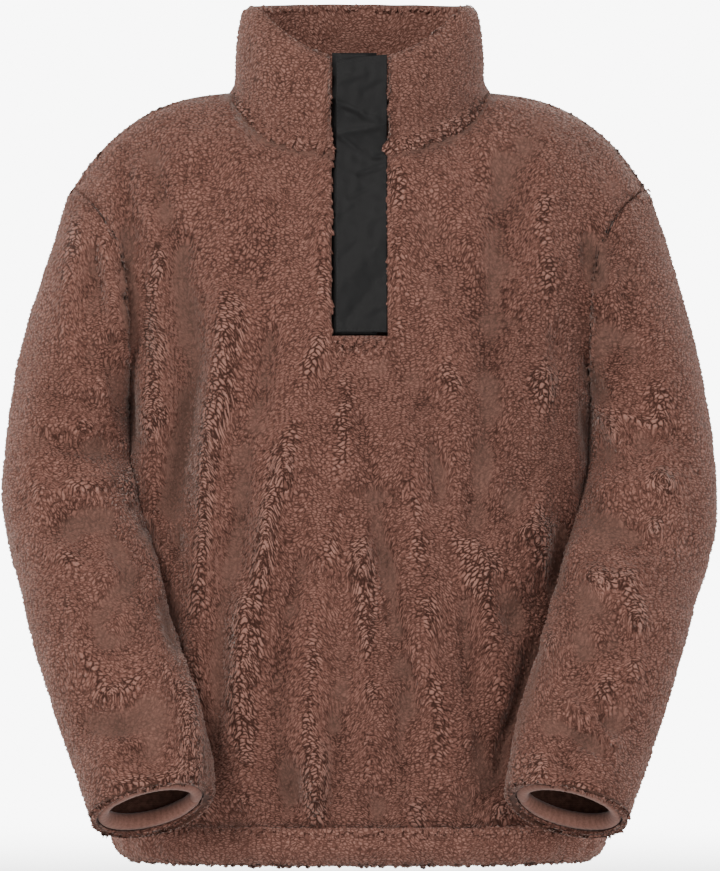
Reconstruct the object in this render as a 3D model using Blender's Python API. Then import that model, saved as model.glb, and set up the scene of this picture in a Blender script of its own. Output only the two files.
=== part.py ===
# Half-zip pile fleece pullover, hollow and filled out as it is worn.
# Metres, +Z up, the front faces -Y and the wearer's left is at +X.
# The origin is inside the neck, level with the neck ends of the shoulder seams.

import math

import bmesh
import bpy
from mathutils import Vector

# Cloth thicknesses and the gap at every seam
SEAM_GAP = 0.0003
ARMHOLE_GAP = 0.0014
NECK_GAP = 0.0009
FLEECE = 0.007
COLLAR_WALL = 0.014
CASING_WALL = 0.013
WOVEN = 0.0016

# Body levels, and how square its plan is
HEM_SEAM = -0.602
HEM_BOTTOM = -0.641
UNDERARM = -0.255
PLAN_POWER = 2.2

# Shoulder and armhole
SHOULDER_END_X = 0.238
SHOULDER_END_Z = -0.078
SHOULDER_SLOPE = 0.12  # share of the drop that is a straight slope, the rest is a curve
SHOULDER_CURVE = 2.8
ARMHOLE_DEPTH = 0.075
ARMHOLE_SWEEP = 5.0
YOKE_HALF_WIDTH = 0.262  # where the chest's curve would end if it ran on over the arm
ARMHOLE_EDGE_POWER = 6  # how closely the armhole's sweep keeps to the panel's edge
ARM_DEPTH_POWER = 8  # how closely the armhole's own depth keeps to it
SLEEVE_BLEND_ROWS = 3  # sleeve sections over which the armhole's shape turns into the arm's

# Neck seam and collar
NECK_HALF_WIDTH = 0.105
NECK_FRONT = 0.080
NECK_BACK = 0.066
NECK_FRONT_DROP = 0.051
NECK_BACK_RISE = 0.006
RIM_FRONT = 0.028
RIM_SIDE = 0.073
RIM_BACK = 0.077
RIM_RISE_FROM = math.radians(10)
RIM_RISE_OVER = math.radians(65)
COLLAR_LEAN = 0.007
COLLAR_MITRE_HEIGHT = 0.3  # share of the collar's height over which its wall turns from the seam's direction
NECK_MITRE = Vector((0.85, 0.53))  # into the neck and down, for the wall's direction at the neck seam

# Placket, and the cut-out that it fills
SLOT_HALF_WIDTH = 0.0228
SLOT_BOTTOM = -0.2027
FLAP = {"left": -0.0190, "right": 0.0224, "bottom": -0.2000, "top_left": 0.0218, "top_right": 0.0276}
UNDER_STRIP = {"left": -0.0224, "right": 0.0140, "bottom": -0.2023, "top_left": 0.0290, "top_right": 0.0290}
STRIP_TOP_POWER = 0.5
FLAP_RECESS = 0.0015
STRIP_RECESS = 0.0046

# Gathered hem casing
GATHERS = 30
STATIONS_PER_GATHER = 4
GATHER_DEPTH = 0.0016
GATHER_SHIFT = {"size": 0.7, "waves": 5}
GATHER_SWELL = {"size": 0.4, "waves": 3, "from": 1.0}
GATHER_TOP = 0.25  # share of the casing's height over which the gathers fade into its seam
CASING_BULGE = 0.004
CASING_TUCK = 0.012
CASING_TUCK_POWER = 4

# Cuff binding: a rounded band just inside the end of the sleeve
BINDING = {"half_width": 0.0434, "half_depth": 0.0375, "wall": 0.008, "length": 0.010, "set_back": 0.006}

# Where folds die out: near a panel's side and below its upper edge
FOLD_SIDE_POWER = 6
FOLD_TOP_FADE = 0.12

# Grid sizes
SIDE_COLUMNS = 13
NECK_COLUMNS = 6  # of a half panel's columns, those that end at the neck
BODY_ROWS = 10
YOKE_ROWS = 8
SLEEVE_STEPS = 2
BINDING_STATIONS = 24
STEP = 1e-4  # for slopes, as a share of a surface's own 0 to 1

# Body plan at each level, from the hem seam up to the underarm
BODY_SECTIONS = (
    {"z": HEM_SEAM, "half_width": 0.203, "front": 0.118, "back": 0.112},
    {"z": -0.575, "half_width": 0.207, "front": 0.128, "back": 0.121},
    {"z": -0.500, "half_width": 0.198, "front": 0.133, "back": 0.125},
    {"z": -0.400, "half_width": 0.186, "front": 0.131, "back": 0.123},
    {"z": -0.310, "half_width": 0.1885, "front": 0.128, "back": 0.121},
    {"z": UNDERARM, "half_width": 0.190, "front": 0.126, "back": 0.120},
)

# Sleeve sections from the armhole to the cuff: the two ends of each in the front view, and its depth
SLEEVE_SECTIONS = (
    {"outer_x": 0.2380, "outer_z": -0.078, "inner_x": 0.1900, "inner_z": -0.255, "y": 0.000, "half_depth": 0.075},
    {"outer_x": 0.2595, "outer_z": -0.122, "inner_x": 0.1912, "inner_z": -0.262, "y": -0.002, "half_depth": 0.072},
    {"outer_x": 0.2745, "outer_z": -0.180, "inner_x": 0.1920, "inner_z": -0.270, "y": -0.006, "half_depth": 0.066},
    {"outer_x": 0.2855, "outer_z": -0.238, "inner_x": 0.1912, "inner_z": -0.283, "y": -0.012, "half_depth": 0.060},
    {"outer_x": 0.2935, "outer_z": -0.292, "inner_x": 0.1893, "inner_z": -0.303, "y": -0.022, "half_depth": 0.055},
    {"outer_x": 0.2960, "outer_z": -0.338, "inner_x": 0.1835, "inner_z": -0.333, "y": -0.040, "half_depth": 0.052},
    {"outer_x": 0.2865, "outer_z": -0.390, "inner_x": 0.1745, "inner_z": -0.364, "y": -0.065, "half_depth": 0.050},
    {"outer_x": 0.2715, "outer_z": -0.440, "inner_x": 0.1630, "inner_z": -0.402, "y": -0.092, "half_depth": 0.049},
    {"outer_x": 0.2535, "outer_z": -0.494, "inner_x": 0.1480, "inner_z": -0.456, "y": -0.118, "half_depth": 0.049},
    {"outer_x": 0.2365, "outer_z": -0.542, "inner_x": 0.1325, "inner_z": -0.508, "y": -0.138, "half_depth": 0.048},
    {"outer_x": 0.2250, "outer_z": -0.576, "inner_x": 0.1220, "inner_z": -0.550, "y": -0.151, "half_depth": 0.048},
    {"outer_x": 0.2190, "outer_z": -0.592, "inner_x": 0.1185, "inner_z": -0.567, "y": -0.156, "half_depth": 0.047},
    {"outer_x": 0.2165, "outer_z": -0.596, "inner_x": 0.1205, "inner_z": -0.571, "y": -0.158, "half_depth": 0.043},
)
SLEEVE_LIP = 0.0045  # the wall at the very end of the cuff

# Folds of the front: a line from x0, z0 to x1, z1, its half width, and its depth (a ridge is negative)
FRONT_FOLDS = (
    {"x0": -0.195, "z0": -0.045, "x1": -0.191, "z1": -0.115, "width": 0.014, "depth": 0.007},
    {"x0": 0.193, "z0": -0.060, "x1": 0.189, "z1": -0.120, "width": 0.014, "depth": 0.007},
    {"x0": -0.135, "z0": -0.262, "x1": -0.160, "z1": -0.365, "width": 0.018, "depth": 0.008},
    {"x0": -0.113, "z0": -0.170, "x1": -0.118, "z1": -0.300, "width": 0.022, "depth": -0.005},
    {"x0": -0.068, "z0": -0.290, "x1": -0.094, "z1": -0.470, "width": 0.022, "depth": -0.005},
    {"x0": -0.040, "z0": -0.360, "x1": -0.062, "z1": -0.500, "width": 0.018, "depth": 0.004},
    {"x0": 0.012, "z0": -0.340, "x1": 0.050, "z1": -0.540, "width": 0.018, "depth": 0.006},
    {"x0": 0.062, "z0": -0.290, "x1": 0.072, "z1": -0.350, "width": 0.018, "depth": 0.006},
    {"x0": 0.075, "z0": -0.385, "x1": 0.108, "z1": -0.530, "width": 0.018, "depth": 0.005},
    {"x0": 0.104, "z0": -0.370, "x1": 0.140, "z1": -0.362, "width": 0.018, "depth": -0.005},
    {"x0": -0.052, "z0": -0.560, "x1": -0.050, "z1": -0.600, "width": 0.014, "depth": 0.005},
    {"x0": 0.118, "z0": -0.545, "x1": 0.122, "z1": -0.600, "width": 0.014, "depth": 0.006},
)
BACK_FOLDS = (
    {"x0": -0.193, "z0": -0.055, "x1": -0.190, "z1": -0.118, "width": 0.015, "depth": 0.006},
    {"x0": 0.193, "z0": -0.055, "x1": 0.190, "z1": -0.118, "width": 0.015, "depth": 0.006},
    {"x0": -0.130, "z0": -0.250, "x1": -0.152, "z1": -0.370, "width": 0.018, "depth": 0.007},
    {"x0": 0.126, "z0": -0.262, "x1": 0.150, "z1": -0.360, "width": 0.018, "depth": 0.006},
    {"x0": -0.025, "z0": -0.360, "x1": -0.060, "z1": -0.540, "width": 0.020, "depth": 0.006},
    {"x0": 0.040, "z0": -0.330, "x1": 0.085, "z1": -0.530, "width": 0.020, "depth": 0.005},
    {"x0": 0.000, "z0": -0.420, "x1": 0.008, "z1": -0.590, "width": 0.020, "depth": -0.005},
    {"x0": 0.130, "z0": -0.470, "x1": 0.138, "z1": -0.600, "width": 0.016, "depth": 0.005},
)

# Folds of a sleeve: the section and the angle at each end, half widths in sections and degrees
SLEEVE_FOLDS = (
    {"row0": 3.6, "angle0": 70, "row1": 4.8, "angle1": 25, "rows": 0.45, "degrees": 26, "depth": 0.006},
    {"row0": 4.9, "angle0": 85, "row1": 5.6, "angle1": 30, "rows": 0.40, "degrees": 26, "depth": 0.005},
    {"row0": 4.4, "angle0": 95, "row1": 5.3, "angle1": 45, "rows": 0.35, "degrees": 22, "depth": -0.004},
    {"row0": 6.2, "angle0": 120, "row1": 6.6, "angle1": 170, "rows": 0.40, "degrees": 24, "depth": 0.004},
    {"row0": 8.3, "angle0": 100, "row1": 9.0, "angle1": 140, "rows": 0.35, "degrees": 22, "depth": 0.004},
    {"row0": 5.2, "angle0": 300, "row1": 5.9, "angle1": 240, "rows": 0.45, "degrees": 28, "depth": 0.005},
    {"row0": 7.6, "angle0": 290, "row1": 8.2, "angle1": 235, "rows": 0.40, "degrees": 24, "depth": 0.004},
)

# Wrinkles of the flap, drawn as the folds are
FLAP_WRINKLES = (
    {"x0": -0.019, "z0": -0.012, "x1": 0.014, "z1": -0.027, "width": 0.0040, "depth": -0.0016},
    {"x0": -0.017, "z0": -0.036, "x1": 0.020, "z1": -0.031, "width": 0.0040, "depth": -0.0013},
    {"x0": -0.014, "z0": -0.025, "x1": 0.006, "z1": -0.029, "width": 0.0045, "depth": 0.0011},
    {"x0": 0.002, "z0": -0.072, "x1": 0.020, "z1": -0.064, "width": 0.0040, "depth": 0.0008},
    {"x0": -0.012, "z0": -0.160, "x1": 0.014, "z1": -0.132, "width": 0.0090, "depth": -0.0010},
    {"x0": -0.008, "z0": -0.188, "x1": 0.016, "z1": -0.157, "width": 0.0080, "depth": 0.0008},
)

# Closed outlines of the thick bands: along the band's height, and through its wall from the outside
COLLAR_OUTLINE = (
    (0.00, 0.00), (0.22, 0.00), (0.45, 0.00), (0.68, 0.00), (0.86, 0.02), (0.96, 0.18),
    (1.00, 0.50), (0.96, 0.82), (0.86, 0.98), (0.60, 1.00), (0.30, 1.00), (0.00, 1.00),
)
CASING_OUTLINE = (
    (0.00, 0.00), (0.30, 0.00), (0.65, 0.00), (0.90, 0.10), (1.00, 0.50),
    (0.92, 0.95), (0.55, 1.00), (0.00, 1.00),
)
BINDING_OUTLINE = (
    (-1.00, -0.45), (-0.45, -1.00), (0.45, -1.00), (1.00, -0.45),
    (1.00, 0.45), (0.45, 1.00), (-0.45, 1.00), (-1.00, 0.45),
)

# Colours as linear red, green and blue
FLEECE_COLOUR = (0.178, 0.080, 0.060)
COLLAR_COLOUR = (0.202, 0.095, 0.072)
BINDING_COLOUR = (0.184, 0.083, 0.060)
WOVEN_COLOUR = (0.026, 0.024, 0.024)


def clear_scene():
    for obj in list(bpy.data.objects):
        bpy.data.objects.remove(obj, do_unlink=True)


def make_material(name, colour, roughness):
    material = bpy.data.materials.new(name)
    material.use_nodes = True
    shader = material.node_tree.nodes["Principled BSDF"]
    shader.inputs["Base Color"].default_value = (*colour, 1.0)
    shader.inputs["Roughness"].default_value = roughness
    shader.inputs["Metallic"].default_value = 0.0
    return material


def make_object(name, bm, material):
    bmesh.ops.recalc_face_normals(bm, faces=bm.faces)
    mesh = bpy.data.meshes.new(name)
    bm.to_mesh(mesh)
    bm.free()
    mesh.materials.append(material)
    mesh.shade_smooth()
    mesh.set_sharp_from_angle(angle=math.radians(50))
    obj = bpy.data.objects.new(name, mesh)
    bpy.context.scene.collection.objects.link(obj)
    return obj


def smooth(share):
    share = min(max(share, 0.0), 1.0)
    return share * share * (3 - 2 * share)


def between(rows, column, at):
    """The column's value at a place between rows, counted in rows, on a smooth curve through them."""
    first = min(max(int(at), 0), len(rows) - 2)
    t = at - first
    p1 = rows[first][column]
    p2 = rows[first + 1][column]
    p0 = rows[max(first - 1, 0)][column]
    p3 = rows[min(first + 2, len(rows) - 1)][column]
    slope1 = (p2 - p0) / 2
    slope2 = (p3 - p1) / 2
    rise = p2 - p1
    return p1 + t * (slope1 + t * (3 * rise - 2 * slope1 - slope2 + t * (slope1 + slope2 - 2 * rise)))


def body_size(z):
    """Half width, front depth and back depth of the body at a level."""
    place = 0.0
    for index, (low, high) in enumerate(zip(BODY_SECTIONS, BODY_SECTIONS[1:])):
        if z >= low["z"]:
            place = index + min((z - low["z"]) / (high["z"] - low["z"]), 1.0)
    return [between(BODY_SECTIONS, column, place) for column in ("half_width", "front", "back")]


def plan_depth(x, half_width, depth):
    """How far the body's plan reaches at x, from its side seams at depth 0."""
    return depth * max(1 - abs(x / half_width) ** PLAN_POWER, 0.0) ** (1 / PLAN_POWER)


def fold_depth(folds, x, z):
    """Sum of the soft troughs and ridges at a place in the front view."""
    total = 0.0
    for fold in folds:
        start = Vector((fold["x0"], fold["z0"]))
        line = Vector((fold["x1"], fold["z1"])) - start
        place = Vector((x, z)) - start
        along = min(max(place.dot(line) / line.length_squared, 0.0), 1.0)
        away = (place - line * along).length / fold["width"]
        total += fold["depth"] * math.exp(-away * away)
    return total


def neck_point(angle):
    """A point of the neck seam, from the front centre at 0 round the wearer's left side."""
    cosine = math.cos(angle)
    depth = NECK_FRONT if cosine > 0 else NECK_BACK
    rise = -NECK_FRONT_DROP if cosine > 0 else NECK_BACK_RISE
    return Vector((NECK_HALF_WIDTH * math.sin(angle), -depth * cosine, rise * abs(cosine)))


def neck_inward(angle):
    """Level direction from the neck seam into the neck. At the cut-out it runs straight back."""
    cosine = math.cos(angle)
    depth = NECK_FRONT if cosine > 0 else NECK_BACK
    turn = smooth((math.acos(cosine) - SLOT_ANGLE) / math.radians(20))
    level = Vector((-depth * math.sin(angle) * turn, NECK_HALF_WIDTH * cosine, 0))
    return level.normalized()


def neck_wall_direction(angle):
    return neck_inward(angle) * NECK_MITRE.x - Vector((0, 0, NECK_MITRE.y))


SLOT_ANGLE = math.asin(SLOT_HALF_WIDTH / NECK_HALF_WIDTH)
NECK_SHARE = NECK_COLUMNS / SIDE_COLUMNS
SLOT_TOP = neck_point(SLOT_ANGLE)
SLOT_TURN = math.asin((SLOT_BOTTOM - UNDERARM) / (SLOT_TOP.z - UNDERARM))
YOKE_TURNS = [0.0] + [SLOT_TURN + (math.pi / 2 - SLOT_TURN) * i / YOKE_ROWS for i in range(YOKE_ROWS + 1)]


def top_point(share, front):
    """The upper edge of a half panel: the neck seam, then the shoulder seam out to the armhole."""
    if share < 0:
        point = neck_point(SLOT_ANGLE if front else math.pi)
        return Vector((point.x, abs(point.y), point.z))
    if share < NECK_SHARE:
        angle = SLOT_ANGLE + (math.pi / 2 - SLOT_ANGLE) * share / NECK_SHARE
        point = neck_point(angle if front else math.pi - angle)
        return Vector((point.x, abs(point.y), point.z))
    out = (share - NECK_SHARE) / (1 - NECK_SHARE)
    x = NECK_HALF_WIDTH + (SHOULDER_END_X - NECK_HALF_WIDTH) * out
    drop = SHOULDER_SLOPE * out + (1 - SHOULDER_SLOPE) * out**SHOULDER_CURVE
    return Vector((x, 0, SHOULDER_END_Z * drop))


def column_x(share, half_width):
    return SLOT_HALF_WIDTH + (half_width - SLOT_HALF_WIDTH) * math.sin(share * math.pi / 2)


def half_panel_point(share, level, front):
    """A point of a half panel with its depth positive. level runs from 0 to 1 up the body and on to 2."""
    if level <= 1:
        z = HEM_SEAM + (UNDERARM - HEM_SEAM) * level
        half_width, front_depth, back_depth = body_size(z)
        x = column_x(max(share, 0.0), half_width)
        return Vector((x, plan_depth(x, half_width, front_depth if front else back_depth), z))
    turn = (level - 1) * math.pi / 2
    top = top_point(share, front)
    share = max(share, 0.0)
    half_width, front_depth, back_depth = body_size(UNDERARM)
    x = column_x(share, half_width)
    edge = share**ARMHOLE_EDGE_POWER
    rise = math.sin(turn) ** (1 + edge)
    x += (top.x - x) * rise ** (1 + ARMHOLE_SWEEP * edge)
    spread = half_width + (YOKE_HALF_WIDTH - half_width) * smooth(math.sin(turn))
    chest = plan_depth(x, max(spread, x), front_depth if front else back_depth)
    roundness = 2 - smooth(share / NECK_SHARE)
    depth = top.y + (chest - top.y) * max(math.cos(turn), 0.0) ** roundness
    arm = ARMHOLE_DEPTH * math.sin(2 * turn)
    return Vector((x, depth + (arm - depth) * share**ARM_DEPTH_POWER, UNDERARM + (top.z - UNDERARM) * rise))


def panel_levels():
    lower = [row / BODY_ROWS for row in range(BODY_ROWS)]
    return lower + [1 + turn / (math.pi / 2) for turn in YOKE_TURNS]


def armhole_wall_direction(point):
    """From the armhole seam towards the armhole's middle, level with the arm."""
    middle = (UNDERARM + SHOULDER_END_Z) / 2
    return Vector((0, -point.y, middle - point.z)).normalized()


def panel_point(column, level, front):
    """Column -1 to 1 across the panel. The two middle steps are as wide as the cut-out."""
    share = (abs(column) * (SIDE_COLUMNS + 1) - 1) / SIDE_COLUMNS
    point = half_panel_point(share, level, front)
    if share < 0:
        point.x = SLOT_HALF_WIDTH * (1 + share * SIDE_COLUMNS)
    side = math.copysign(1, column)
    folds = FRONT_FOLDS if front else BACK_FOLDS
    point.x *= side
    fade = 1 - max(share, 0.0) ** FOLD_SIDE_POWER
    depth = point.y - fold_depth(folds, point.x, point.z) * fade * smooth((2 - level) / FOLD_TOP_FADE)
    point.y = -max(depth, 0.0) if front else max(depth, 0.0)
    return point


def panel_wall_direction(column, level, front):
    """Into the garment, square to the cloth, and along the seam's own plane at each edge."""
    across = STEP if column < 1 - STEP else -STEP
    up = STEP if level < 2 - STEP else -STEP
    here = panel_point(column, level, front)
    tangent = (panel_point(column + across, level, front) - here) / across
    rise = (panel_point(column, level + up, front) - here) / up
    inward = tangent.cross(rise)
    if front:
        inward.negate()
    share = abs(column) * (SIDE_COLUMNS + 1) - 1
    at_side = abs(column) > 1 - STEP
    if at_side and level >= 1:
        return armhole_wall_direction(here)
    if level > 2 - STEP and share < NECK_COLUMNS + STEP:
        angle = math.asin(min(abs(here.x) / NECK_HALF_WIDTH, 1.0))
        direction = neck_wall_direction(angle if front else math.pi - angle)
        direction.x *= math.copysign(1, column)
        return direction
    if at_side or level > 2 - STEP:
        inward.y = 0
    if level < STEP:
        inward.z = 0
    if front and abs(share) < STEP and level > 1:
        inward.x = 0
    return inward.normalized()


def cloth_wall(name, columns, rows, place, wall_direction, wall, material, closed=False, skip=None):
    """A wall on a grid: place gives its outer points, and each inner point lies wall metres inwards."""
    bm = bmesh.new()
    bmesh.ops.create_grid(bm, x_segments=len(columns) - 1, y_segments=len(rows) - 1, size=1)
    inner = bm.verts.layers.float_vector.new("inner")
    skipped = []
    for vert in bm.verts:
        column = columns[round((vert.co.x + 1) / 2 * (len(columns) - 1))]
        row = rows[round((vert.co.y + 1) / 2 * (len(rows) - 1))]
        if skip and skip(column, row):
            skipped.append(vert)
            continue
        point = place(column, row)
        thickness = wall(row) if callable(wall) else wall
        vert[inner] = point + wall_direction(column, row) * thickness
        vert.co = point
    bmesh.ops.delete(bm, geom=skipped, context="VERTS")
    if closed:
        bmesh.ops.remove_doubles(bm, verts=bm.verts, dist=1e-6)
    edges = [edge for edge in bm.edges if edge.is_boundary]
    result = bmesh.ops.duplicate(bm, geom=bm.verts[:] + bm.edges[:] + bm.faces[:])
    copied = result["vert_map"]
    for edge in edges:
        near, far = edge.verts
        bm.faces.new((near, far, copied[far], copied[near]))
    for vert in result["geom"]:
        if isinstance(vert, bmesh.types.BMVert):
            vert.co = vert[inner]
    return make_object(name, bm, material)


def band(name, stations, outline, place, material, ring=False):
    """A solid band: place gives the point of one outline place at one station."""
    bm = bmesh.new()
    bmesh.ops.create_grid(bm, x_segments=len(stations) - 1, y_segments=len(outline), size=1)
    for vert in bm.verts:
        station = stations[round((vert.co.x + 1) / 2 * (len(stations) - 1))]
        corner = round((vert.co.y + 1) / 2 * len(outline)) % len(outline)
        vert.co = place(station, *outline[corner])
    bmesh.ops.remove_doubles(bm, verts=bm.verts, dist=1e-6)
    if not ring:
        bmesh.ops.holes_fill(bm, edges=[edge for edge in bm.edges if edge.is_boundary])
    return make_object(name, bm, material)


def make_panel(name, front, material):
    columns = [i / (SIDE_COLUMNS + 1) for i in range(-SIDE_COLUMNS - 1, SIDE_COLUMNS + 2)]
    slot_level = 1 + SLOT_TURN / (math.pi / 2)

    def place(column, level):
        point = panel_point(column, level, front)
        if abs(column) > 1 - STEP or level > 2 - STEP:
            point.y += -SEAM_GAP / 2 if front else SEAM_GAP / 2
        return point

    def wall_direction(column, level):
        return panel_wall_direction(column, level, front)

    def in_slot(column, level):
        return front and abs(column) < STEP and level > slot_level + STEP

    return cloth_wall(name, columns, panel_levels(), place, wall_direction, FLEECE, material, skip=in_slot)


def sleeve_frame(row, side):
    """Centre, outward half width, forward half depth and down-arm direction of a sleeve section."""
    def centre(at):
        x = (between(SLEEVE_SECTIONS, "outer_x", at) + between(SLEEVE_SECTIONS, "inner_x", at)) / 2
        z = (between(SLEEVE_SECTIONS, "outer_z", at) + between(SLEEVE_SECTIONS, "inner_z", at)) / 2
        return Vector((x, between(SLEEVE_SECTIONS, "y", at), z))

    half = Vector((
        between(SLEEVE_SECTIONS, "outer_x", row) - between(SLEEVE_SECTIONS, "inner_x", row),
        0,
        between(SLEEVE_SECTIONS, "outer_z", row) - between(SLEEVE_SECTIONS, "inner_z", row),
    )) / 2
    down = (centre(row + 0.1) - centre(row - 0.1)).normalized()
    forward = down.cross(half).normalized()
    if forward.y > 0:
        forward.negate()
    frame = [centre(row), half, forward * between(SLEEVE_SECTIONS, "half_depth", row), down]
    for vector in frame:
        vector.x *= side
    return frame


def sleeve_fold(row, degrees):
    total = 0.0
    for fold in SLEEVE_FOLDS:
        line = Vector(((fold["row1"] - fold["row0"]) / fold["rows"],
                       (fold["angle1"] - fold["angle0"]) / fold["degrees"]))
        place = Vector(((row - fold["row0"]) / fold["rows"], (degrees - fold["angle0"]) / fold["degrees"]))
        along = min(max(place.dot(line) / line.length_squared, 0.0), 1.0)
        total += fold["depth"] * math.exp(-((place - line * along).length_squared))
    return total


def armhole_point(angle, side):
    """A point of the armhole seam, from the underarm at 0 up the front, over and down the back."""
    front = angle <= math.pi
    turn = angle / 2 if front else math.pi - angle / 2
    point = half_panel_point(1.0, 1 + turn / (math.pi / 2), front)
    return Vector((side * point.x, -point.y if front else point.y, point.z))


def sleeve_point(share, row, side):
    """A point of the sleeve: share 0 to 1 round it, even on the arm and as the panels' rows at the seam."""
    even = 2 * math.pi * share
    place = share * 2 * (len(YOKE_TURNS) - 1)
    first = min(int(place), 2 * (len(YOKE_TURNS) - 1) - 1)
    low, high = seam_angle(first), seam_angle(first + 1)
    at_seam = low + (high - low) * (place - first)
    angle = at_seam + (even - at_seam) * smooth(row / SLEEVE_BLEND_ROWS)
    centre, half, forward, down = sleeve_frame(row, side)
    ring = centre - half * math.cos(angle) + forward * math.sin(angle)
    ring += (centre - ring).normalized() * sleeve_fold(row, math.degrees(angle))
    seam = armhole_point(angle, side) + Vector((side * ARMHOLE_GAP, 0, 0))
    return seam.lerp(ring, smooth(row / SLEEVE_BLEND_ROWS))


def seam_angle(index):
    """Angle round the armhole of one of the panels' rows, counted up the front and down the back."""
    last = len(YOKE_TURNS) - 1
    return 2 * YOKE_TURNS[index] if index <= last else 2 * math.pi - 2 * YOKE_TURNS[2 * last - index]


def make_sleeve(name, side, material):
    columns = 2 * (len(YOKE_TURNS) - 1)
    last = len(SLEEVE_SECTIONS) - 1
    rows = [i / SLEEVE_STEPS for i in range(last * SLEEVE_STEPS + 1)]

    def place(share, row):
        return sleeve_point(share % 1, row, side)

    def wall_direction(share, row):
        here = sleeve_point(share % 1, row, side)
        if row < STEP:
            return armhole_wall_direction(here)
        centre, half, forward, down = sleeve_frame(row, side)
        inward = centre - here
        if row > last - 1:
            inward -= down * inward.dot(down)
        return inward.normalized()

    def wall(row):
        return FLEECE + (SLEEVE_LIP - FLEECE) * max(row - last + 1, 0.0)

    shares = [i / columns for i in range(columns + 1)]
    return cloth_wall(name, shares, rows, place, wall_direction, wall, material, closed=True)


def make_cuff_binding(name, side, material):
    centre, half, forward, down = sleeve_frame(len(SLEEVE_SECTIONS) - 1, side)
    centre = centre - down * BINDING["set_back"]
    out = half.normalized()
    forward = forward.normalized()

    def place(angle, through, along):
        wall = BINDING["wall"] / 2
        width = BINDING["half_width"] - wall + through * wall
        depth = BINDING["half_depth"] - wall + through * wall
        ring = centre - out * width * math.cos(angle) + forward * depth * math.sin(angle)
        return ring + down * along * BINDING["length"] / 2

    stations = [2 * math.pi * (i % BINDING_STATIONS) / BINDING_STATIONS for i in range(BINDING_STATIONS + 1)]
    return band(name, stations, BINDING_OUTLINE, place, material, ring=True)


def rim_height(angle):
    turn = math.acos(math.cos(angle))
    side = RIM_FRONT + (RIM_SIDE - RIM_FRONT) * smooth((turn - RIM_RISE_FROM) / RIM_RISE_OVER)
    return side + (RIM_BACK - RIM_SIDE) * smooth((turn - math.pi / 2) / (math.pi / 2))


def make_collar(material):
    def place(angle, height, through):
        base = neck_point(angle) + Vector((0, 0, NECK_GAP))
        inward = neck_inward(angle)
        point = base + Vector((0, 0, (rim_height(angle) - base.z) * height))
        low = 1 - smooth(height / COLLAR_MITRE_HEIGHT)
        point += inward * (COLLAR_WALL * through * (1 - low + low * NECK_MITRE.x))
        point += inward * COLLAR_LEAN * height**3
        point.z -= COLLAR_WALL * through * low * NECK_MITRE.y
        return point

    step = (math.pi / 2 - SLOT_ANGLE) / NECK_COLUMNS
    left = [SLOT_ANGLE + step * i for i in range(2 * NECK_COLUMNS + 1)]
    stations = left + [math.pi] + [2 * math.pi - angle for angle in reversed(left)]
    return band("collar", stations, COLLAR_OUTLINE, place, material)


def make_hem_band(material):
    half_width, front_depth, back_depth = body_size(HEM_SEAM)
    count = GATHERS * STATIONS_PER_GATHER

    def place(angle, height, through):
        cosine = math.cos(angle)
        sine = math.sin(angle)
        depth = front_depth if cosine > 0 else back_depth
        power = 2 / PLAN_POWER
        edge = Vector((
            math.copysign(abs(sine) ** power, sine) * half_width,
            -math.copysign(abs(cosine) ** power, cosine) * depth,
            0,
        ))
        shift = GATHER_SHIFT["size"] * math.sin(GATHER_SHIFT["waves"] * angle)
        swell = GATHER_SWELL["size"] * math.sin(GATHER_SWELL["waves"] * angle + GATHER_SWELL["from"])
        gather = math.cos(GATHERS * angle + shift) * (1 + swell)
        out = CASING_BULGE * math.sin(math.pi * height) - CASING_TUCK * height**CASING_TUCK_POWER
        out += GATHER_DEPTH * gather * smooth(height / GATHER_TOP) * (1 - through)
        out -= CASING_WALL * through
        edge += edge.normalized() * out
        edge.z = HEM_SEAM - SEAM_GAP - (HEM_SEAM - SEAM_GAP - HEM_BOTTOM) * height
        return edge

    stations = [2 * math.pi * (i % count) / count for i in range(count + 1)]
    return band("hem_band", stations, CASING_OUTLINE, place, material, ring=True)


def placket_line(z):
    """Depth of the cloth's outer face at the cut-out, on the chest and up the collar."""
    front_depth = body_size(UNDERARM)[1]
    if z <= SLOT_TOP.z:
        rise = max((z - UNDERARM) / (SLOT_TOP.z - UNDERARM), 0.0)
        chest = plan_depth(SLOT_HALF_WIDTH, body_size(UNDERARM)[0], front_depth)
        return SLOT_TOP.y - (chest + SLOT_TOP.y) * (1 - rise * rise)
    height = (z - SLOT_TOP.z) / (RIM_FRONT - SLOT_TOP.z)
    return SLOT_TOP.y + COLLAR_LEAN * min(height, 1.0) ** 3


def make_placket_strip(name, sizes, recess, wrinkles, columns, rows, material):
    def place(across, up):
        x = sizes["left"] + (sizes["right"] - sizes["left"]) * across
        top = sizes["top_left"] + (sizes["top_right"] - sizes["top_left"]) * across**STRIP_TOP_POWER
        z = sizes["bottom"] + (top - sizes["bottom"]) * up
        return Vector((x, placket_line(z) + recess + fold_depth(wrinkles, x, z), z))

    def wall_direction(across, up):
        return Vector((0, 1, 0))

    across = [i / columns for i in range(columns + 1)]
    up = [i / rows for i in range(rows + 1)]
    return cloth_wall(name, across, up, place, wall_direction, WOVEN, material)


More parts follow.
